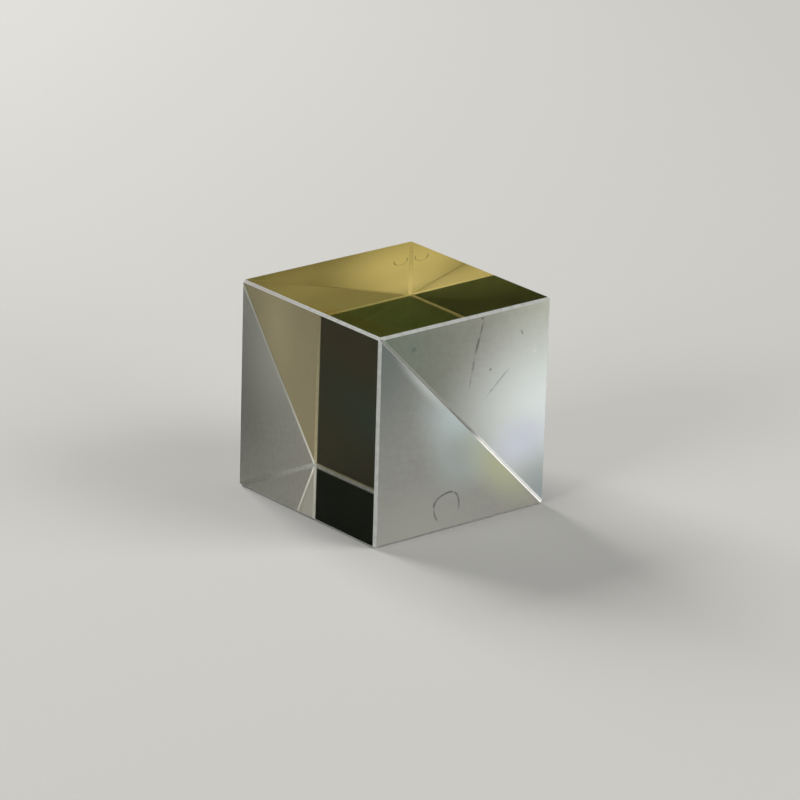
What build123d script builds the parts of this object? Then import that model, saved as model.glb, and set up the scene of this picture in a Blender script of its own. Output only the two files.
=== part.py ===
"""Polarizing beamsplitter cube: two bevelled right-angle prisms cemented over a dielectric coating.

The cube stands on a polished face of its lower prism, with a ground end face to the front (-Y). The
origin is the middle of the base and +Z is up. The seam runs down from the upper left edge (-X, top)
to the lower right edge (+X, base), so a beam that enters at -X leaves at +X and through the base.
"""

import os

from build123d import *

# Driving dimensions, in millimetres
cube_side = 25.4  # face to face, the same on all three axes
edge_bevel = 0.36  # leg of the 45 degree bevel along every outer edge
seam_bevel = 0.2  # leg of the fine bevel where a hypotenuse face meets a ground end face
coating_thickness = 0.004  # polarizing stack of thin dielectric layers, carried by the upper prism
cement_thickness = 0.016  # optical cement between the coating and the lower prism
bead_depth = 0.06  # how far cement stands up from the floor of the seam groove
bead_dish = 0.02  # how much the bead's surface sags between the two groove walls

# Worked out from them
joint_thickness = coating_thickness + cement_thickness
half_joint = joint_thickness / 2
groove_floor = cube_side / 2 - seam_bevel  # from the cube's middle plane to the groove's floor
beyond = 2 * cube_side  # longer than the cube's diagonal, for tools that reach right through it

# On the seam: local X is the cube's +Y, local Y climbs to the upper left, local Z enters the upper prism
seam_plane = Plane(origin=(0, 0, cube_side / 2), x_dir=(0, 1, 0), z_dir=(1, 0, 1))
# Across the seam: local X is the cube's +Y, local Y enters the upper prism
groove_plane = Plane(origin=seam_plane.origin, x_dir=(0, 1, 0), z_dir=-seam_plane.y_dir)


def bevelled_cube():
    """The whole cube with its protective bevels, before the seam divides it."""
    block = Box(cube_side, cube_side, cube_side, align=(Align.CENTER, Align.CENTER, Align.MIN))
    return chamfer(block.edges(), edge_bevel)


def seam_layer(low, high, width=beyond):
    """A slab parallel to the seam, from low to high across it, and width wide between the end faces."""
    slab = Box(width, beyond, high - low, align=(Align.CENTER, Align.CENTER, Align.MIN))
    return seam_plane * Pos(0, 0, low) * slab


def along_seam(profile):
    """A profile across the seam at the back end face, carried along the seam and mirrored to the front."""
    back = extrude(groove_plane * profile, amount=beyond / 2, both=True)
    return back + mirror(back, about=Plane.XZ)


def seam_groove():
    """The V groove that the two seam bevels leave, as wide as the joint at its floor."""
    depth = 2 * seam_bevel  # reaches out past the end face
    section = Polyline(
        (groove_floor, -half_joint),
        (groove_floor, half_joint),
        (groove_floor + depth, half_joint + depth),
        (groove_floor + depth, -half_joint - depth),
        close=True,
    )
    return along_seam(make_face(section))


def cement_bead():
    """Cement squeezed out into the groove when the prisms were pressed together, with a dished surface."""
    surface = groove_floor + bead_depth
    walls = Polyline(
        (surface, half_joint + bead_depth),
        (groove_floor, half_joint),
        (groove_floor, -half_joint),
        (surface, -half_joint - bead_depth),
    )
    meniscus = ThreePointArc(walls @ 1, (surface - bead_dish, 0), walls @ 0)
    return along_seam(make_face(walls + meniscus))


cube = bevelled_cube()
groove = seam_groove()
joint_width = 2 * groove_floor
coating_base = half_joint - coating_thickness
cement = seam_layer(-half_joint, coating_base, joint_width) + cement_bead()

sub_parts = {
    "lower_prism": (cube & seam_layer(-beyond, -half_joint)) - groove,
    "upper_prism": (cube & seam_layer(half_joint, beyond)) - groove,
    "polarizing_coating": cube & seam_layer(coating_base, half_joint, joint_width),
    "cement_layer": cube & cement,
}

os.makedirs("parts", exist_ok=True)
for name, shape in sub_parts.items():
    shape.label = name
    export_step(shape, os.path.join("parts", name + ".step"))
    print(f"{name}: {len(shape.solids())} solid, {shape.volume:.3f} mm3, {len(shape.faces())} faces")
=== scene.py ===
"""Polarizing beamsplitter cube on a pale studio floor: two bevelled prisms, their coated seam and its cement.

Lengths are in metres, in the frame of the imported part: the cube stands on z = 0, its ground end faces look
along -Y and +Y, and its seam falls from the upper left edge (-X) to the lower right edge (+X).
"""

from __future__ import annotations

import logging
import math
from collections.abc import Sequence
from dataclasses import dataclass
from enum import Enum, IntEnum

import bmesh
import bpy
import numpy as np
from mathutils import Matrix, Vector

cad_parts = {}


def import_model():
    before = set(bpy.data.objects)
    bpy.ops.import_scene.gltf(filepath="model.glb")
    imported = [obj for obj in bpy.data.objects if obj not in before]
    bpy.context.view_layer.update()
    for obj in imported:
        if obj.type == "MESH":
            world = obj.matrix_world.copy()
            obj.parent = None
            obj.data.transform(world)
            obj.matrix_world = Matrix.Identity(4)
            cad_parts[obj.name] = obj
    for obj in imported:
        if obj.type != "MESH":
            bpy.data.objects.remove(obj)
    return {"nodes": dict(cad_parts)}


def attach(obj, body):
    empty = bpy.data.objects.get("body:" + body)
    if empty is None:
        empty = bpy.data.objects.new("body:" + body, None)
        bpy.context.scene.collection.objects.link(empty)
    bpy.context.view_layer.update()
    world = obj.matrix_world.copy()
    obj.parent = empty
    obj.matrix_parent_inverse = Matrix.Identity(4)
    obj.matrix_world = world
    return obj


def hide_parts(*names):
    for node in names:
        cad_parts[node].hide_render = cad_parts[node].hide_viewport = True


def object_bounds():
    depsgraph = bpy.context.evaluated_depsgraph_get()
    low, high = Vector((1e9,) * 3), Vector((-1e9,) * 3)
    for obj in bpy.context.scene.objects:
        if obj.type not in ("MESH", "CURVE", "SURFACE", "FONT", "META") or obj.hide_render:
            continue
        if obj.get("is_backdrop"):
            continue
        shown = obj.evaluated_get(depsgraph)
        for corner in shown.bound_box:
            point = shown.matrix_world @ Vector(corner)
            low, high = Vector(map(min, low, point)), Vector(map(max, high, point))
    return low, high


log = logging.getLogger("beamsplitter")

MM = 0.001
INCH = 0.0254
ROOT_TWO = math.sqrt(2)
BODY = "root"
# Places on the cube in millimetres, from the middle of its base.
LEFT, RIGHT = -12.7, 12.7
FRONT, REAR = -12.7, 12.7
TOP = 25.4

Stops = Sequence[tuple[float, str]]
Tree = bpy.types.NodeTree
Node = bpy.types.Node
Socket = bpy.types.NodeSocket
Material = bpy.types.Material


# ---------------------------------------------------------------------------------------------- helpers
def linear(colour: str) -> tuple[float, float, float, float]:
    """Turn an sRGB hex colour into linear light.

    Below 0.04045 the curve is a straight line of slope 1 / 12.92; above it, ((c + 0.055) / 1.055) to the 2.4.

    Args:
        colour: six hex digits after a hash.

    Returns:
        Linear red, green and blue, and an alpha of 1.
    """
    srgb = np.array([int(colour[i : i + 2], 16) for i in (1, 3, 5)]) / 255
    light = np.where(srgb <= 0.04045, srgb / 12.92, ((srgb + 0.055) / 1.055) ** 2.4)
    return (*map(float, light), 1.0)


def node(tree: Tree, kind: str, settings: dict[str, object] | None = None, **inputs: object) -> Node:
    """Add a shader node, set its properties and feed its inputs.

    Args:
        tree: node tree that takes the node.
        kind: Blender's name for the node type, without the ShaderNode in front.
        settings: properties of the node by name.
        inputs: a plain value or an output socket for each input. An input is named with _ for each space,
            or as in_N for the input at place N.

    Returns:
        The new node.
    """
    new = tree.nodes.new("ShaderNode" + kind)
    for name, value in (settings or {}).items():
        setattr(new, name, value)
    for name, value in inputs.items():
        socket = new.inputs[int(name[3:])] if name.startswith("in_") else new.inputs[name.replace("_", " ")]
        if isinstance(value, Socket):
            tree.links.new(value, socket)
        else:
            socket.default_value = value
    return new


def ramp(tree: Tree, source: Socket, stops: Stops) -> Socket:
    """Turn a number into a colour along a list of stops.

    Args:
        tree: node tree that takes the ramp.
        source: number from 0 to 1.
        stops: place and sRGB hex colour of each stop, in rising order.

    Returns:
        The ramp's colour socket.
    """
    band = node(tree, "ValToRGB", Fac=source)
    elements = band.color_ramp.elements
    for _ in stops[2:]:
        elements.new(0.5)  # a new ramp has two stops, and every place is set below
    for element, (place, colour) in zip(elements, stops):
        element.position = place
        element.color = linear(colour)
    return band.outputs["Color"]


def maths(tree: Tree, operation: str, first: object, second: object = 0.0) -> Socket:
    """Work out one number from one or two others.

    Args:
        tree: node tree that takes the node.
        operation: Blender's name for what is done.
        first: first number, as a value or a socket.
        second: second number, where the operation takes two.

    Returns:
        The result's socket.
    """
    return node(tree, "Math", {"operation": operation}, in_0=first, in_1=second).outputs["Value"]


def mix_colour(tree: Tree, share: object, under: object, over: object, blend: str = "MIX") -> Socket:
    """Lay one colour over another.

    Args:
        tree: node tree that takes the node.
        share: how much of the upper colour shows, from 0 to 1.
        under: lower colour, as a value or a socket.
        over: upper colour, as a value or a socket.
        blend: how the two are joined, such as MIX or MULTIPLY.

    Returns:
        The new colour's socket.
    """
    settings = {"data_type": "RGBA", "blend_type": blend}
    return node(tree, "Mix", settings, in_0=share, in_6=under, in_7=over).outputs[2]


def mix_shader(tree: Tree, share: object, under: Node, over: Node) -> Node:
    """Blend two shaders.

    Args:
        tree: node tree that takes the node.
        share: how much of the second shader shows, from 0 to 1.
        under: first shader's node.
        over: second shader's node.

    Returns:
        The node of the blend.
    """
    return node(tree, "MixShader", in_0=share, in_1=under.outputs[0], in_2=over.outputs[0])


def slant_of_view(tree: Tree) -> Socket:
    """Tell how far aslant a surface is seen, as 1 - |cosine of the angle between the view and its normal|.

    Args:
        tree: node tree that takes the node.

    Returns:
        Socket of a number that is 0 face on and 1 edge on.
    """
    return node(tree, "LayerWeight", Blend=0.5).outputs["Facing"]  # 0.5 leaves the cosine as it is


def oval_space(
    tree: Tree, here: Socket, place: Sequence[float], turn: float, reach: Sequence[float]
) -> Socket:
    """Measure a position in an oval's own units, so that the oval's rim lies at 1 from its middle.

    Args:
        tree: node tree that takes the node.
        here: position on the object, in metres.
        place: middle of the oval, in millimetres.
        turn: degrees by which the oval is turned about Y.
        reach: the oval's half sizes along its own axes, in millimetres.

    Returns:
        The position's socket.
    """
    space = node(
        tree,
        "Mapping",
        {"vector_type": "TEXTURE"},
        Vector=here,
        Location=[v * MM for v in place],
        Rotation=(0.0, math.radians(turn), 0.0),
        Scale=[v * MM for v in reach],
    )
    return space.outputs["Vector"]


def outward(azimuth: float, elevation: float) -> Vector:
    """Point from the cube towards a place round it.

    Args:
        azimuth: degrees from the front (-Y) towards the right (+X).
        elevation: degrees above the floor.

    Returns:
        A vector of length 1.
    """
    a, e = math.radians(azimuth), math.radians(elevation)
    return Vector((math.sin(a) * math.cos(e), -math.cos(a) * math.cos(e), math.sin(e)))


def new_material(name: str) -> tuple[Material, Tree, Node]:
    """Make an empty node material.

    Args:
        name: name of the finish.

    Returns:
        The material, its tree and its output node.
    """
    material = bpy.data.materials.new(name)
    material.use_nodes = True
    material.node_tree.nodes.clear()
    return material, material.node_tree, node(material.node_tree, "OutputMaterial")


def mesh_object(
    name: str,
    points: np.ndarray,
    faces: list[list[int]],
    finish_of_face: np.ndarray,
    finishes: Sequence[Material],
    weld: float = 1e-8,
) -> bpy.types.Object:
    """Make a closed mesh object whose faces wear several finishes, with coincident points welded.

    Args:
        name: name of the piece.
        points: one row of x, y, z for each point.
        faces: point numbers round each face.
        finish_of_face: place in finishes, for each face.
        finishes: materials of the piece.
        weld: points nearer than this are joined.

    Returns:
        The object, linked to the scene, with its normals pointing outwards.
    """
    mesh = bpy.data.meshes.new(name)
    mesh.from_pydata(points.tolist(), [], faces)
    mesh.polygons.foreach_set("material_index", np.asarray(finish_of_face, np.int32))
    for finish in finishes:
        mesh.materials.append(finish)
    shell = bmesh.new()
    shell.from_mesh(mesh)
    bmesh.ops.remove_doubles(shell, verts=shell.verts, dist=weld)
    bmesh.ops.dissolve_degenerate(shell, edges=shell.edges, dist=weld)
    bmesh.ops.recalc_face_normals(shell, faces=shell.faces)
    shell.to_mesh(mesh)
    shell.free()
    mesh.update()
    piece = bpy.data.objects.new(name, mesh)
    bpy.context.scene.collection.objects.link(piece)
    return piece


# ---------------------------------------------------------------------------------------------- finishes
@dataclass(frozen=True)
class Patch:
    """A soft oval patch of colour on a face, in millimetres from the middle of the cube's base."""

    place: tuple[float, float, float]
    reach: tuple[float, float, float]
    turn: float  # degrees about Y
    colour: str

    def over(self, tree: Tree, here: Socket, under: object) -> Socket:
        """Lay the patch over a colour; with t = 1 - distance / reach its strength is 3 t squared - 2 t cubed.

        Args:
            tree: node tree that takes the nodes.
            here: position on the object, in metres.
            under: colour below the patch, as a value or a socket.

        Returns:
            The new colour's socket.
        """
        oval = oval_space(tree, here, self.place, self.turn, self.reach)
        near = node(tree, "TexGradient", {"gradient_type": "SPHERICAL"}, Vector=oval)
        fade = node(tree, "MapRange", {"interpolation_type": "SMOOTHSTEP"}, Value=near.outputs["Fac"])
        return mix_colour(tree, fade.outputs["Result"], under, linear(self.colour))


@dataclass(frozen=True)
class PolishedGlass:
    """Optical glass, pitch polished and coated against reflection: clear face on, golden yellow aslant."""

    ior: float = 1.53
    # Painted shade: a grey patch on the rear part of the entrance face, which dims what is seen through it.
    painted_shade: Patch = Patch((LEFT, 13.0, 12.0), (6.0, 11.0, 15.0), 0.0, "#c0bfbb")
    # Colour of what goes through, by slant.
    tint: Stops = ((0.25, "#ffffff"), (0.42, "#efeeea"), (0.66, "#ffe68e"), (0.80, "#ffde7c"))
    # Share mirrored and its green cast, both by what uncoated glass would mirror.
    coated: Stops = ((0.0, "#000000"), (0.10, "#222222"), (0.24, "#848484"), (1.0, "#ffffff"))
    residue: Stops = ((0.0, "#d0f0cc"), (0.3, "#d0f0cc"), (0.5, "#ffffff"))

    def build(self) -> Material:
        """Return clear glass that mirrors little until it reflects totally, and tints a slanting view."""
        material, tree, out = new_material("polished_coated_glass")
        slant = slant_of_view(tree)
        # The painted shade dims the tint on the rear part of the entrance face.
        tint = self.painted_shade.over(tree, node(tree, "TexCoord").outputs["Object"], ramp(tree, slant, self.tint))
        bare = node(tree, "Fresnel", IOR=self.ior).outputs["Fac"]
        glass = node(tree, "BsdfRefraction", Color=tint, Roughness=0.0, IOR=self.ior)
        mirror = node(tree, "BsdfAnisotropic", Color=ramp(tree, bare, self.residue), Roughness=0.0)
        both = mix_shader(tree, ramp(tree, bare, self.coated), glass, mirror)
        tree.links.new(both.outputs["Shader"], out.inputs["Surface"])
        return material


@dataclass(frozen=True)
class PencilArc:
    """A faint pencil stroke, in millimetres: part of an oval, patchy where the lead skipped."""

    place: tuple[float, float, float]
    reach: tuple[float, float]  # half sizes of the oval
    turn: float  # degrees about Y
    keep: float  # height above which the oval is drawn, where -1 is its foot and 1 its top
    stroke: float = 0.3  # full width, of which the outer half fades
    strength: float = 0.8
    skip: float = 0.8  # size of the noise that takes bits out
    bare_and_full: tuple[float, float] = (0.3, 0.6)  # noise where the lead left nothing, and all of its tone
    squareness: float = 2.0
    depth: float = 20.0  # half size of the oval along Y, short enough to keep it off the other end face
    lead: str = "#54524e"

    def over(self, tree: Tree, here: Socket, under: object) -> Socket:
        """Lay the stroke over a colour.

        In the oval's own units a point lies |r - 1| off the line, where r to the power p is the sum of |x|,
        |y| and |z|, each to the power p, and p is the squareness. The stroke fades to nothing at half its
        width. Only the part above the height `keep` is drawn, and noise takes bits out.

        Args:
            tree: node tree that takes the nodes.
            here: position on the object, in metres.
            under: colour below the stroke.

        Returns:
            The new colour's socket.
        """
        rx, rz = self.reach
        oval = oval_space(tree, here, self.place, self.turn, (rx, self.depth, rz))
        apart = node(tree, "VectorMath", {"operation": "ABSOLUTE"}, in_0=oval).outputs["Vector"]
        total = 0.0
        for axis in node(tree, "SeparateXYZ", Vector=apart).outputs:
            total = maths(tree, "ADD", total, maths(tree, "POWER", axis, self.squareness))
        r = maths(tree, "POWER", total, 1 / self.squareness)
        off = maths(tree, "ABSOLUTE", maths(tree, "SUBTRACT", r, 1.0))
        half_stroke = self.stroke / (rx + rz)
        line = node(tree, "MapRange", Value=off, From_Min=half_stroke, From_Max=0.5 * half_stroke)
        height = node(tree, "SeparateXYZ", Vector=oval).outputs["Z"]
        fade = 0.1 * (1 - self.keep)  # the two ends of the stroke run out softly
        kept = node(tree, "MapRange", Value=height, From_Min=self.keep - fade, From_Max=self.keep + fade)
        grain = node(tree, "TexNoise", Vector=here, Scale=1 / (self.skip * MM), Detail=2.0).outputs["Fac"]
        bare, full = self.bare_and_full
        patchy = node(tree, "MapRange", Value=grain, From_Min=bare, From_Max=full, To_Max=self.strength)
        share = maths(tree, "MULTIPLY", line.outputs["Result"], kept.outputs["Result"])
        share = maths(tree, "MULTIPLY", share, patchy.outputs["Result"])
        return mix_colour(tree, share, under, linear(self.lead))


@dataclass(frozen=True)
class GroundGlass:
    """Optical glass ground with loose abrasive: translucent, whitish, and glossy only far aslant.

    Its shades run along the object's X, so they stay in place whatever the view.
    """

    name: str
    # On several finishes the shades and the patches laid over them are painted light and painted shade.
    shades: Stops  # from the left edge of the cube to the right one
    # Pencil marks and wear, and patches of painted light and painted shade.
    marks_and_painted_light: tuple[Patch | PencilArc, ...] = ()
    through: float = 0.42  # share of the scattered light that goes on into the glass
    mottle: float = 0.9 * MM  # size of the uneven spots that the abrasive left
    mottle_dark: str = "#f8f8f7"
    wipe: tuple[float, float, float] = (12.0, 12.0, 0.5)  # size of a cleaning streak, in millimetres
    wipe_tilt: float = 8.0  # degrees about Y
    wipe_dark: str = "#fcfcfb"
    dark_and_white: tuple[float, float] = (0.35, 0.6)  # noise where spots and streaks are darkest and gone
    sheen: Stops = ((0.3, "#000000"), (0.5, "#303030"), (0.8, "#808080"))  # by slant
    sheen_roughness: float = 0.1

    def build(self) -> Material:
        """Return white scatter, part thrown back and part let through, under a gloss that grows aslant."""
        material, tree, out = new_material(self.name)
        here = node(tree, "TexCoord").outputs["Object"]
        x = node(tree, "SeparateXYZ", Vector=here).outputs["X"]
        along = node(tree, "MapRange", Value=x, From_Min=LEFT * MM, From_Max=RIGHT * MM)
        colour = ramp(tree, along.outputs["Result"], self.shades)
        spots = node(tree, "TexNoise", Vector=here, Scale=1 / self.mottle, Detail=3.0).outputs["Fac"]
        tilted = oval_space(tree, here, (0.0, 0.0, 0.0), self.wipe_tilt, self.wipe)
        streaks = node(tree, "TexNoise", Vector=tilted, Scale=1.0, Detail=2.0).outputs["Fac"]
        darkest, gone = self.dark_and_white
        for pattern, dark in ((spots, self.mottle_dark), (streaks, self.wipe_dark)):
            tone = ramp(tree, pattern, ((darkest, dark), (gone, "#ffffff")))
            colour = mix_colour(tree, 1.0, colour, tone, "MULTIPLY")
        for overlay in self.marks_and_painted_light:
            colour = overlay.over(tree, here, colour)
        slant = slant_of_view(tree)
        thrown = node(tree, "BsdfDiffuse", Color=colour)
        passed = node(tree, "BsdfTranslucent", Color=colour)
        skin = mix_shader(tree, self.through, thrown, passed)
        gloss = node(tree, "BsdfAnisotropic", Color=linear("#ffffff"), Roughness=self.sheen_roughness)
        both = mix_shader(tree, ramp(tree, slant, self.sheen), skin, gloss)
        tree.links.new(both.outputs["Shader"], out.inputs["Surface"])
        return material


@dataclass(frozen=True)
class BuriedFace:
    """A face that touches clear cement of its own refractive index, so nothing shows of it."""

    def build(self) -> Material:
        """Return a fully clear finish that doesn't bend light."""
        material, tree, out = new_material("buried_polished_glass")
        clear = node(tree, "BsdfTransparent", Color=linear("#ffffff"))
        tree.links.new(clear.outputs["BSDF"], out.inputs["Surface"])
        return material


@dataclass(frozen=True)
class DielectricStack:
    """Vacuum-deposited oxide layers: a strong mirror up to a slant of about 0.6, and a weak one beyond.

    The light that they let through and the light that they mirror are both warm at a middle slant.
    """

    # Share of light mirrored, and colours of what goes through and of what comes back, all by slant.
    mirrored: Stops = (
        (0.18, "#f0f0f0"),
        (0.28, "#cccccc"),
        (0.42, "#f4f4f4"),
        (0.53, "#fafafa"),
        (0.59, "#f8f8f8"),
        (0.70, "#565656"),
    )
    through: Stops = ((0.16, "#ffffff"), (0.50, "#f0dca8"), (0.72, "#ffffff"))
    back: Stops = ((0.16, "#ffffff"), (0.50, "#fff2cb"), (0.64, "#fff2cb"), (0.72, "#c8ecc0"))
    # Where the layers are a little thicker or thinner than they should be.
    drift: tuple[Patch, ...] = (
        Patch((-10.0, -5.0, 22.7), (8.0, 9.0, 8.0), 0.0, "#ffe0bc"),
        Patch((1.0, -4.0, 11.7), (12.0, 12.0, 12.0), 0.0, "#e8fce4"),
    )

    def build(self) -> Material:
        """Return a mirror over a warm filter, both set by the angle of view."""
        material, tree, out = new_material("dielectric_polarizing_coating")
        slant = slant_of_view(tree)
        through = ramp(tree, slant, self.through)
        here = node(tree, "TexCoord").outputs["Object"]
        for overlay in self.drift:
            through = overlay.over(tree, here, through)
        clear = node(tree, "BsdfTransparent", Color=through)
        mirror = node(tree, "BsdfAnisotropic", Color=ramp(tree, slant, self.back), Roughness=0.0)
        mixed = mix_shader(tree, ramp(tree, slant, self.mirrored), clear, mirror)
        tree.links.new(mixed.outputs["Shader"], out.inputs["Surface"])
        return material


@dataclass(frozen=True)
class StudioFloor:
    """Matt paper sweep, pale warm grey."""

    colour: str = "#b2b1ad"

    def build(self) -> Material:
        """Return a plain matt finish."""
        material, tree, out = new_material("matt_paper_sweep")
        paper = node(
            tree, "BsdfPrincipled", Base_Color=linear(self.colour), Roughness=0.9, Specular_IOR_Level=0.2
        )
        tree.links.new(paper.outputs["BSDF"], out.inputs["Surface"])
        return material


# ---------------------------------------------------------------------------------------------- the cube
class Side(Enum):
    """Which prism: its polished legs face down and left, or up and right."""

    LOWER = -1
    UPPER = 1


# Uneven tones of the ground end faces. The shade ramps and the broad patches are painted light and painted
# shade: on the front (-Y) ends mostly light that the coating throws on the ground from inside, with shade in
# two corners, and on the rear (+Y) ends lighter and darker parts of how that face is lit. The strokes and the
# dark specks are pencil marks and wear, and the one pale speck is a painted glint.
GROUND_ENDS = {
    Side.LOWER: GroundGlass(
        "ground_end_glass_lower",
        ((0.0, "#a2a29c"), (0.5, "#a8a7a2"), (1.0, "#aeaba4")),
        (
            # Painted light and painted shade on the front end, then on the rear end.
            Patch((-6.0, FRONT, 0.0), (17.0, 6.0, 9.0), 0.0, "#b4b3aa"),
            Patch((-13.5, FRONT, 25.0), (13.0, 6.0, 18.0), 0.0, "#767e7a"),
            Patch((0.6, FRONT, 12.1), (11.0, 6.0, 7.0), 45.0, "#d0e0e0"),
            Patch((-0.5, FRONT, 8.6), (6.0, 6.0, 6.0), 0.0, "#b2bab6"),
            Patch((6.0, FRONT, 6.4), (9.5, 6.0, 4.8), 45.0, "#c6c9a8"),
            Patch((-5.0, FRONT, 17.8), (8.6, 6.0, 1.5), 45.0, "#d2d8d4"),
            Patch((-4.0, REAR, 14.0), (15.0, 6.0, 9.0), 0.0, "#b4b4ae"),
            # A pencil mark.
            PencilArc((-2.16, FRONT, 2.9), (1.86, 1.65), -13.7, -0.645, squareness=2.6),
        ),
        sheen=((0.55, "#000000"), (0.6, "#181818"), (0.85, "#808080")),
    ),
    Side.UPPER: GroundGlass(
        "ground_end_glass_upper",
        ((0.0, "#7e887a"), (0.3, "#8c9084"), (0.6, "#a2a298"), (1.0, "#c6c8b8")),
        (
            # Painted light and painted shade on the front end, then on the rear end.
            Patch((12.5, FRONT, 12.5), (19.0, 6.0, 15.0), 0.0, "#f8fffd"),
            Patch((9.0, FRONT, 8.4), (7.0, 6.0, 5.0), 0.0, "#e6eaf6"),
            Patch((12.5, FRONT, 1.0), (8.0, 6.0, 8.5), 0.0, "#aab4b6"),
            Patch((-4.0, REAR, 20.0), (14.0, 6.0, 10.0), 0.0, "#b0b0a8"),
            Patch((11.0, REAR, 15.0), (14.0, 6.0, 19.0), 0.0, "#fffff6"),
            Patch((RIGHT, REAR, 6.0), (8.0, 6.0, 9.0), 0.0, "#ffffff"),
            # Pencil marks, then specks of wear.
            PencilArc((11.1, REAR, 16.7), (1.0, 1.9), 180.0, -0.4, stroke=0.36, strength=0.7),
            PencilArc(
                (25.6, FRONT, 15.0), (24.8, 24.8), -76.6, 0.9912, stroke=0.45, strength=0.62, skip=0.88
            ),
            PencilArc((12.8, FRONT, 7.4), (12.0, 12.0), -40.5, 0.9972, stroke=0.6, strength=0.4, skip=0.75),
            Patch((8.4, FRONT, 22.0), (0.14, 0.5, 0.5), -25.0, "#6c6c68"),
            Patch((2.36, FRONT, 24.85), (0.26, 0.5, 0.2), 0.0, "#50504c"),
            Patch((3.8, FRONT, 18.4), (0.3, 0.5, 0.3), 0.0, "#8c8c88"),
            Patch((-7.7, FRONT, 23.1), (0.6, 0.5, 0.5), 0.0, "#6c766c"),
            # A painted glint on a small chip.
            Patch((10.4, FRONT, 19.35), (0.36, 0.5, 0.2), 20.0, "#f4f4ea"),
        ),
    ),
}
# Each groove's ramp is painted light and shade: the step to white stands for light that reaches only the
# right half of the seam, and in the lower groove the darker stretch before it stands for shade in the middle
# of the seam.
GROOVES = {
    Side.LOWER: GroundGlass(
        "ground_groove_glass_lower",
        (
            (0.0, "#8c908e"),
            (0.3, "#a8aca8"),
            (0.42, "#9c9e9c"),
            (0.56, "#9c9e9c"),
            (0.62, "#ffffff"),
            (1.0, "#ffffff"),
        ),
        through=0.1,
    ),
    Side.UPPER: GroundGlass(
        "ground_groove_glass_upper",
        ((0.0, "#a2a49e"), (0.4, "#b2b2ac"), (0.56, "#bebeba"), (0.62, "#ffffff"), (1.0, "#ffffff")),
        through=0.1,
    ),
}
# Painted light: the rear grooves grow lighter towards the right, where the rear end faces are painted lighter
# too.
REAR_GROOVES = GroundGlass(
    "ground_groove_glass_rear",
    ((0.0, "#b8b8b0"), (0.6, "#bcbcb4"), (1.0, "#f4f4ec")),
    through=0.62,
)
BEVELS = GroundGlass(
    "ground_bevel_glass",
    ((0.0, "#f0f2ee"), (1.0, "#f0f2ee")),
    # Painted shade on the rear bevels low on the left and high on the right, painted light low on the rear
    # right, and painted shade on the upper left edge, most towards the rear.
    (
        Patch((LEFT, REAR, 0.0), (24.0, 3.0, 30.0), 0.0, "#b4b4ac"),
        Patch((RIGHT, REAR, 25.0), (6.0, 3.0, 16.0), 0.0, "#dcdcd4"),
        Patch((RIGHT, REAR, 4.0), (4.0, 3.0, 12.0), 0.0, "#ffffff"),
        Patch((LEFT, 10.0, TOP), (6.0, 14.0, 6.0), 0.0, "#e0dcd6"),
    ),
    through=0.6,
    mottle_dark="#eeeeec",
)
# Cured adhesive is smoother than ground glass, so it keeps some gloss face on.
BEAD = GroundGlass(
    "cured_optical_adhesive",
    # The ramp is painted light and shade: a dark stretch in the middle of the seam, and a step to white for
    # light on its right half.
    (
        (0.0, "#a4a6a2"),
        (0.4, "#a8a8a2"),
        (0.44, "#8e8e88"),
        (0.54, "#8e8e88"),
        (0.62, "#fffef8"),
        (1.0, "#fffef8"),
    ),
    # Painted shade at the rear upper left, and painted light at the rear lower right.
    (
        Patch((LEFT, REAR, TOP), (30.0, 3.0, 30.0), 0.0, "#bcbcb4"),
        Patch((RIGHT, REAR, 0.0), (20.0, 3.0, 20.0), 0.0, "#f4f4ec"),
    ),
    through=0.45,
    sheen_roughness=0.05,
    sheen=((0.0, "#303030"), (0.5, "#404040"), (0.9, "#c0c0c0")),
)


@dataclass(frozen=True)
class CubeSizes:
    """Real sizes of the cube. Its edge bevel is drawn 0.05 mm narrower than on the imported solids."""

    half: float
    edge_bevel: float = 0.31 * MM
    seam_bevel: float = 0.2 * MM
    coating: float = 0.004 * MM
    cement: float = 0.016 * MM
    bead_depth: float = 0.06 * MM
    bead_dish: float = 0.02 * MM
    hairline: float = 0.001 * MM  # air kept between two pieces that touch, so no two faces coincide

    @property
    def half_joint(self) -> float:
        """Half the thickness of coating and cement together."""
        return (self.coating + self.cement) / 2

    def corner_reach(self, to_end: np.ndarray) -> np.ndarray:
        """Work out how far a cut edge lies from the cube's middle line along Y.

        It is (2 half - edge bevel) / root 2 along the bevel, and (2 half - 2 edge bevel + distance to the
        end face) / root 2 on the small facet at the cube's corner, whichever is less.

        Args:
            to_end: distances to the nearer end face.

        Returns:
            One distance for each of them.
        """
        bevel, facet = 2 * self.half - self.edge_bevel, 2 * self.half - 2 * self.edge_bevel + to_end
        return np.minimum(bevel, facet) / ROOT_TWO


class PrismFinish(IntEnum):
    """Places in a prism's list of finishes."""

    POLISHED = 0
    GROUND = 1
    BEVEL = 2
    BURIED = 3
    FRONT_GROOVE = 4
    REAR_GROOVE = 5


class FilmFinish(IntEnum):
    """Places in the list of finishes of the coating and of the cement."""

    SHOWN = 0
    CLEAR = 1


# The six lines round a lower prism's section: what each is, and its normal in degrees from +X towards +Z.
LINES = np.array(["leg", "cut", "leg", "cut", "hypotenuse", "cut"])
NORMALS = (180.0, 225.0, 270.0, 315.0, 405.0, 495.0)


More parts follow.
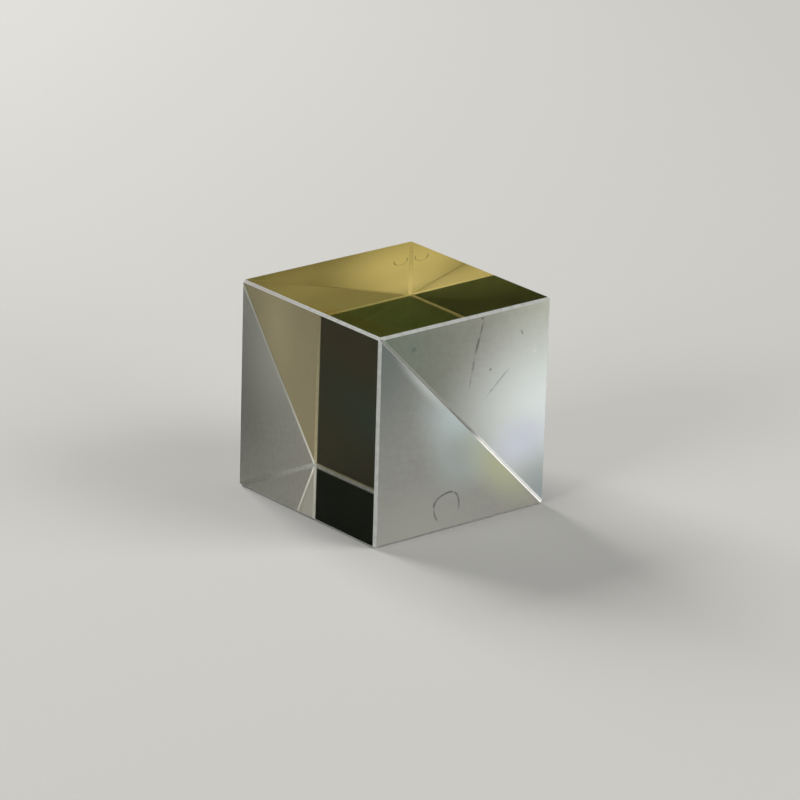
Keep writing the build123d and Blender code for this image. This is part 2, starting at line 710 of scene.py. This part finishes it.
@dataclass
class Prism:
    """One right-angle prism, with ground bevels, ground ends, polished legs and a buried hypotenuse."""

    sizes: CubeSizes
    side: Side
    polished: Material
    ground: Material
    bevel: Material
    buried: Material
    front_groove: Material
    rear_groove: Material

    def sections(self) -> tuple[np.ndarray, np.ndarray]:
        """Work out the prism's cross-section at each station along Y.

        A section is a triangle with cut corners: each side is a line at a distance from the cube's middle
        along its normal, and each corner is where two neighbouring lines cross. Near an end face the bevels
        move the leg lines in by (edge bevel - distance) and the hypotenuse line by (seam bevel - distance),
        and a corner cut follows the small facet at the cube's corner. A cut that would miss its corner is
        moved in until it touches it.

        Returns:
            Stations along Y, and for each of them six points of x and height above the cube's middle.
        """
        s = self.sizes
        acute_start = ROOT_TWO * (s.half_joint + s.seam_bevel) / (1 + ROOT_TWO)
        depth = np.array([0.0, acute_start, s.seam_bevel, s.edge_bevel])
        station = np.concatenate([depth - s.half, s.half - depth[::-1]])
        to_end = s.half - np.abs(station)
        leg = s.half - np.maximum(0.0, s.edge_bevel - to_end)
        slope = -s.half_joint - np.maximum(0.0, s.seam_bevel - to_end)
        cut = s.corner_reach(to_end)
        acute = np.minimum(cut, ROOT_TWO * leg + slope)
        offsets = np.stack([leg, cut, leg, acute, slope, acute], axis=1)
        angles = np.radians(NORMALS)
        normals = np.stack([np.cos(angles), np.sin(angles)], axis=1)
        n_next, d_next = np.roll(normals, -1, axis=0), np.roll(offsets, -1, axis=1)
        cross = normals[:, 0] * n_next[:, 1] - normals[:, 1] * n_next[:, 0]
        x = (offsets * n_next[:, 1] - d_next * normals[:, 1]) / cross
        z = (d_next * normals[:, 0] - offsets * n_next[:, 0]) / cross
        points = np.stack([x, z], axis=2)
        return station, -points if self.side is Side.UPPER else points

    def build(self, name: str) -> bpy.types.Object:
        """Carry the section along Y and close both ends.

        Args:
            name: name of the piece.

        Returns:
            The prism as one closed mesh.
        """
        s = self.sizes
        station, section = self.sections()
        rings, corners = section.shape[:2]
        y = np.broadcast_to(station[:, None], (rings, corners))
        points = np.stack([section[..., 0], y, section[..., 1] + s.half], axis=2).reshape(-1, 3)
        ring, corner = np.meshgrid(np.arange(rings - 1), np.arange(corners), indexing="ij")
        after = (corner + 1) % corners
        quads = np.stack(
            [
                ring * corners + corner,
                ring * corners + after,
                (ring + 1) * corners + after,
                (ring + 1) * corners + corner,
            ],
            axis=-1,
        )
        # A quad between corners k and k + 1 lies on line k + 1. Only its middle stretch is the face itself.
        middle = (station[:-1] + station[1:]) / 2
        line = LINES[after]
        off_end = s.half - np.abs(middle)[ring]
        finish = np.full(line.shape, int(PrismFinish.BEVEL))
        finish[(line == "leg") & (off_end > s.edge_bevel)] = PrismFinish.POLISHED
        finish[line == "hypotenuse"] = PrismFinish.FRONT_GROOVE
        finish[(line == "hypotenuse") & (middle[ring] > 0)] = PrismFinish.REAR_GROOVE
        finish[(line == "hypotenuse") & (off_end > s.seam_bevel)] = PrismFinish.BURIED
        ends = [list(range(corners)), list(range(rings * corners - 1, (rings - 1) * corners - 1, -1))]
        faces = quads.reshape(-1, 4).tolist() + ends
        finishes = [self.polished, self.ground, self.bevel, self.buried, self.front_groove, self.rear_groove]
        finish_of_face = np.append(finish.ravel(), [int(PrismFinish.GROUND)] * len(ends))
        return mesh_object(name, points, faces, finish_of_face, finishes)


@dataclass
class SeamFilm:
    """The polarizing coating: a thin flat slab along the seam, between the floors of the two grooves."""

    sizes: CubeSizes
    stack: Material
    clear: Material

    def build(self, name: str) -> bpy.types.Object:
        """Place the slab's eight corners at the ends of three spans: along the seam, along Y and across it.

        Args:
            name: name of the piece.

        Returns:
            The film as one closed mesh; only the side towards the cement wears the stack's optics.
        """
        s = self.sizes
        reach = ROOT_TWO * s.half - s.edge_bevel / ROOT_TWO
        along = np.array([-reach, reach])
        width = np.array([-1, 1]) * (s.half - s.seam_bevel)
        across = np.array([s.half_joint - s.coating + s.hairline / 2, s.half_joint - s.hairline])
        v, y, w = (a.ravel() for a in np.meshgrid(along, width, across, indexing="ij"))
        points = np.stack([(w - v) / ROOT_TWO, y, (w + v) / ROOT_TWO + s.half], axis=1)
        # Corner number = 4 * along + 2 * width + across. The first face looks towards the cement.
        faces = [[0, 2, 6, 4], [1, 5, 7, 3], [0, 4, 5, 1], [2, 3, 7, 6], [0, 1, 3, 2], [4, 6, 7, 5]]
        finish = np.full(len(faces), int(FilmFinish.CLEAR))
        finish[0] = FilmFinish.SHOWN
        return mesh_object(name, points, faces, finish, [self.stack, self.clear])


@dataclass
class CementSeam:
    """Optical cement: a thin film under the coating, and the dished bead it left in both seam grooves."""

    sizes: CubeSizes
    wet: Material
    clear: Material
    arc_steps: int = 12

    def profile(self) -> tuple[np.ndarray, np.ndarray]:
        """Draw half of the section across the seam, from the cube's middle plane to the rear groove.

        The film lies between the lower prism and the coating. In the groove the two walls climb outwards at
        45 degrees, and the bead's surface is an arc: its sag at a distance d from the middle is the dish
        times (1 - (d / half width) squared), taken off the height of its two edges.

        Returns:
            Points of y and distance across the seam, in order round the half, and which spans are bare.
        """
        s = self.sizes
        gap = s.hairline
        floor = s.half - s.seam_bevel
        bevel_start = s.half - s.edge_bevel
        low, high = gap - s.half_joint, s.half_joint - s.coating - gap / 2
        edge = s.half_joint + s.bead_depth - gap
        across = np.linspace(-1.0, 1.0, self.arc_steps + 1)
        arc = np.stack([floor + s.bead_depth - s.bead_dish * (1 - across**2), across * edge], axis=1)
        before = np.array([[bevel_start, low], [floor, low], [floor + gap, low]])
        after = np.array([[floor + gap, s.half_joint - gap], [floor + gap / 2, high], [bevel_start, high]])
        points = np.concatenate([before, arc, after])
        bare = np.zeros(len(points), bool)
        bare[len(before) : len(before) + self.arc_steps] = True
        return points, bare

    def build(self, name: str) -> bpy.types.Object:
        """Close the section with its mirror image at the front, and carry it along the seam.

        The section ends on the bevels of the cube's edges, and near an end face on the small corner facet.

        Args:
            name: name of the piece.

        Returns:
            The cement as one closed mesh.
        """
        s = self.sizes
        rear, bare = self.profile()
        loop = np.concatenate([rear, rear[::-1] * [-1, 1]])
        bare_loop = np.concatenate([bare, np.roll(bare[::-1], -1)])
        reach = s.corner_reach(s.half - np.abs(loop[:, 0]))
        v = np.stack([-reach, reach])
        w = np.broadcast_to(loop[:, 1], v.shape)
        y = np.broadcast_to(loop[:, 0], v.shape)
        points = np.stack([(w - v) / ROOT_TWO, y, (w + v) / ROOT_TWO + s.half], axis=2).reshape(-1, 3)
        count = len(loop)
        start = np.arange(count)
        after = (start + 1) % count
        sides = np.stack([start, after, after + count, start + count], axis=1).tolist()
        half = count // 2
        ends = []
        for base in (0, count):
            ends.append([base + k for k in (half - 1, half, count - 1, 0)])
            ends.append([base + k for k in range(half)])
            ends.append([base + k for k in range(half, count)])
        shown = np.append(bare_loop, [False] * len(ends))
        finish = np.where(shown, int(FilmFinish.SHOWN), int(FilmFinish.CLEAR))
        return mesh_object(name, points, sides + ends, finish, [self.wet, self.clear])


@dataclass
class BeamsplitterCube:
    """The whole cube: both prisms and the seam between them."""

    sizes: CubeSizes

    def build(self) -> None:
        """Make each piece, let it replace its node and ride on the part's body."""
        polished = PolishedGlass().build()
        bevel = BEVELS.build()
        rear_groove = REAR_GROOVES.build()
        buried = BuriedFace().build()
        pieces = []
        for side, node_name in ((Side.LOWER, "lower_prism"), (Side.UPPER, "upper_prism")):
            ground = GROUND_ENDS[side].build()
            groove = GROOVES[side].build()
            prism = Prism(self.sizes, side, polished, ground, bevel, buried, groove, rear_groove)
            prism = prism.build("cut_" + node_name)
            pieces.append((prism, node_name, "prism_glass"))
        film = SeamFilm(self.sizes, DielectricStack().build(), buried).build("coating_film")
        pieces.append((film, "polarizing_coating", "dielectric_coating"))
        cement = CementSeam(self.sizes, BEAD.build(), buried).build("cement_seam")
        pieces.append((cement, "cement_layer", "optical_cement"))
        for piece, node_name, slot in pieces:
            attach(piece, BODY)
            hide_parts(node_name)
            log.info("%s replaces %s", piece.name, node_name)


# ---------------------------------------------------------------------------------------------- the studio
@dataclass(frozen=True)
class SoftLight:
    """A square softbox that faces the cube, placed in degrees round it and metres away from it."""

    name: str
    azimuth: float
    elevation: float
    watts: float
    width: float
    distance: float = 0.6

    def build(self, target: Vector) -> None:
        """Hang the softbox on a sphere round the target and turn it to face it."""
        away = outward(self.azimuth, self.elevation)
        lamp = bpy.data.lights.new(self.name, "AREA")
        lamp.shape = "SQUARE"
        lamp.size = self.width
        lamp.energy = self.watts
        holder = bpy.data.objects.new(self.name, lamp)
        holder.location = target + away * self.distance
        holder.rotation_mode = "QUATERNION"
        holder.rotation_quaternion = away.to_track_quat("Z", "Y")
        # A polished face that mirrors a softbox burns out to white, so mirrors and clear glass don't see it.
        holder.visible_glossy = False
        holder.visible_transmission = False
        bpy.context.scene.collection.objects.link(holder)


SOFTBOXES = (
    SoftLight("rear_box", azimuth=184, elevation=35, watts=5.0, width=0.35),
    SoftLight("front_box", azimuth=40, elevation=35, watts=2.4, width=0.35),
    SoftLight("low_box", azimuth=8, elevation=12, watts=1.8, width=0.3),
    SoftLight("left_box", azimuth=-85, elevation=20, watts=2.4, width=0.3),
)
# Light crosses many faces of glass and clear film before it leaves the cube. Caustics stay off.
CYCLES = {
    "max_bounces": 24,
    "transmission_bounces": 24,
    "glossy_bounces": 16,
    "transparent_max_bounces": 48,
    "caustics_refractive": False,
    "caustics_reflective": False,
}


@dataclass(frozen=True)
class Studio:
    """Floor, lights, dim surroundings and the camera."""

    floor_half: float = 3.0
    floor_gap: float = 0.00002  # below the base, so no two faces coincide
    surround: str = "#1c1d1c"
    azimuth: float = -39.76  # degrees, as are the next two
    elevation: float = 19.88
    roll: float = 1.65
    distance: float = 24 * INCH  # from the middle of the cube
    sensor_mm: float = 36.0
    focal_pixels: float = 5252  # focal length, in the pixels that the next line counts
    picture_pixels: float = 800
    aim_right: float = 0.77 * MM
    aim_down: float = 0.95 * MM

    def build(self, centre: Vector) -> None:
        """Lay the floor, hang the lights and place the camera round the middle of the cube."""
        self.lay_floor()
        self.light(centre)
        self.place_camera(centre)

    def lay_floor(self) -> None:
        """Lay one flat sheet just under the cube."""
        w = self.floor_half
        corners = [(x * w, y * w, -self.floor_gap) for x, y in ((-1, -1), (1, -1), (1, 1), (-1, 1))]
        mesh = bpy.data.meshes.new("floor")
        mesh.from_pydata(corners, [], [[0, 1, 2, 3]])
        mesh.materials.append(StudioFloor().build())
        floor = bpy.data.objects.new("floor", mesh)
        bpy.context.scene.collection.objects.link(floor)
        floor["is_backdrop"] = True

    def light(self, centre: Vector) -> None:
        """Hang the softboxes and dim the surroundings."""
        for box in SOFTBOXES:
            box.build(centre)
        world = bpy.data.worlds.new("studio_surround")
        world.use_nodes = True
        world.node_tree.nodes.clear()
        out = node(world.node_tree, "OutputWorld")
        dim = node(world.node_tree, "Background", Color=linear(self.surround), Strength=1.0)
        world.node_tree.links.new(dim.outputs["Background"], out.inputs["Surface"])
        bpy.context.scene.world = world

    def place_camera(self, centre: Vector) -> None:
        """Look at the cube from its left front, a little from above, with a slight tilt."""
        r = math.radians(self.roll)
        back = outward(self.azimuth, self.elevation)
        level = Vector((0, 0, 1)).cross(back).normalized()
        upright = back.cross(level)
        right = level * math.cos(r) + upright * math.sin(r)
        up = upright * math.cos(r) - level * math.sin(r)
        data = bpy.data.cameras.new("studio_camera")
        data.sensor_width = self.sensor_mm
        data.lens = self.focal_pixels / self.picture_pixels * self.sensor_mm
        data.clip_start = 0.01
        camera = bpy.data.objects.new("studio_camera", data)
        place = centre + right * self.aim_right - up * self.aim_down + back * self.distance
        camera.matrix_world = Matrix.Translation(place) @ Matrix((right, up, back)).transposed().to_4x4()
        bpy.context.scene.collection.objects.link(camera)
        bpy.context.scene.camera = camera


def main() -> None:
    """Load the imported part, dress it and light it."""
    logging.basicConfig(level=logging.INFO, format="%(name)s: %(message)s")
    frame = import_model()
    cad_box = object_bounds()
    low, high = cad_box
    sizes = CubeSizes(half=(high.x - low.x) / 2)
    BeamsplitterCube(sizes).build()
    Studio().build((low + high) / 2)
    scene = bpy.context.scene
    scene.view_settings.view_transform = "Standard"
    for name, value in CYCLES.items():
        setattr(scene.cycles, name, value)
    log.info("%d nodes in the frame", len(frame["nodes"]))


if __name__ == "__main__":
    main()
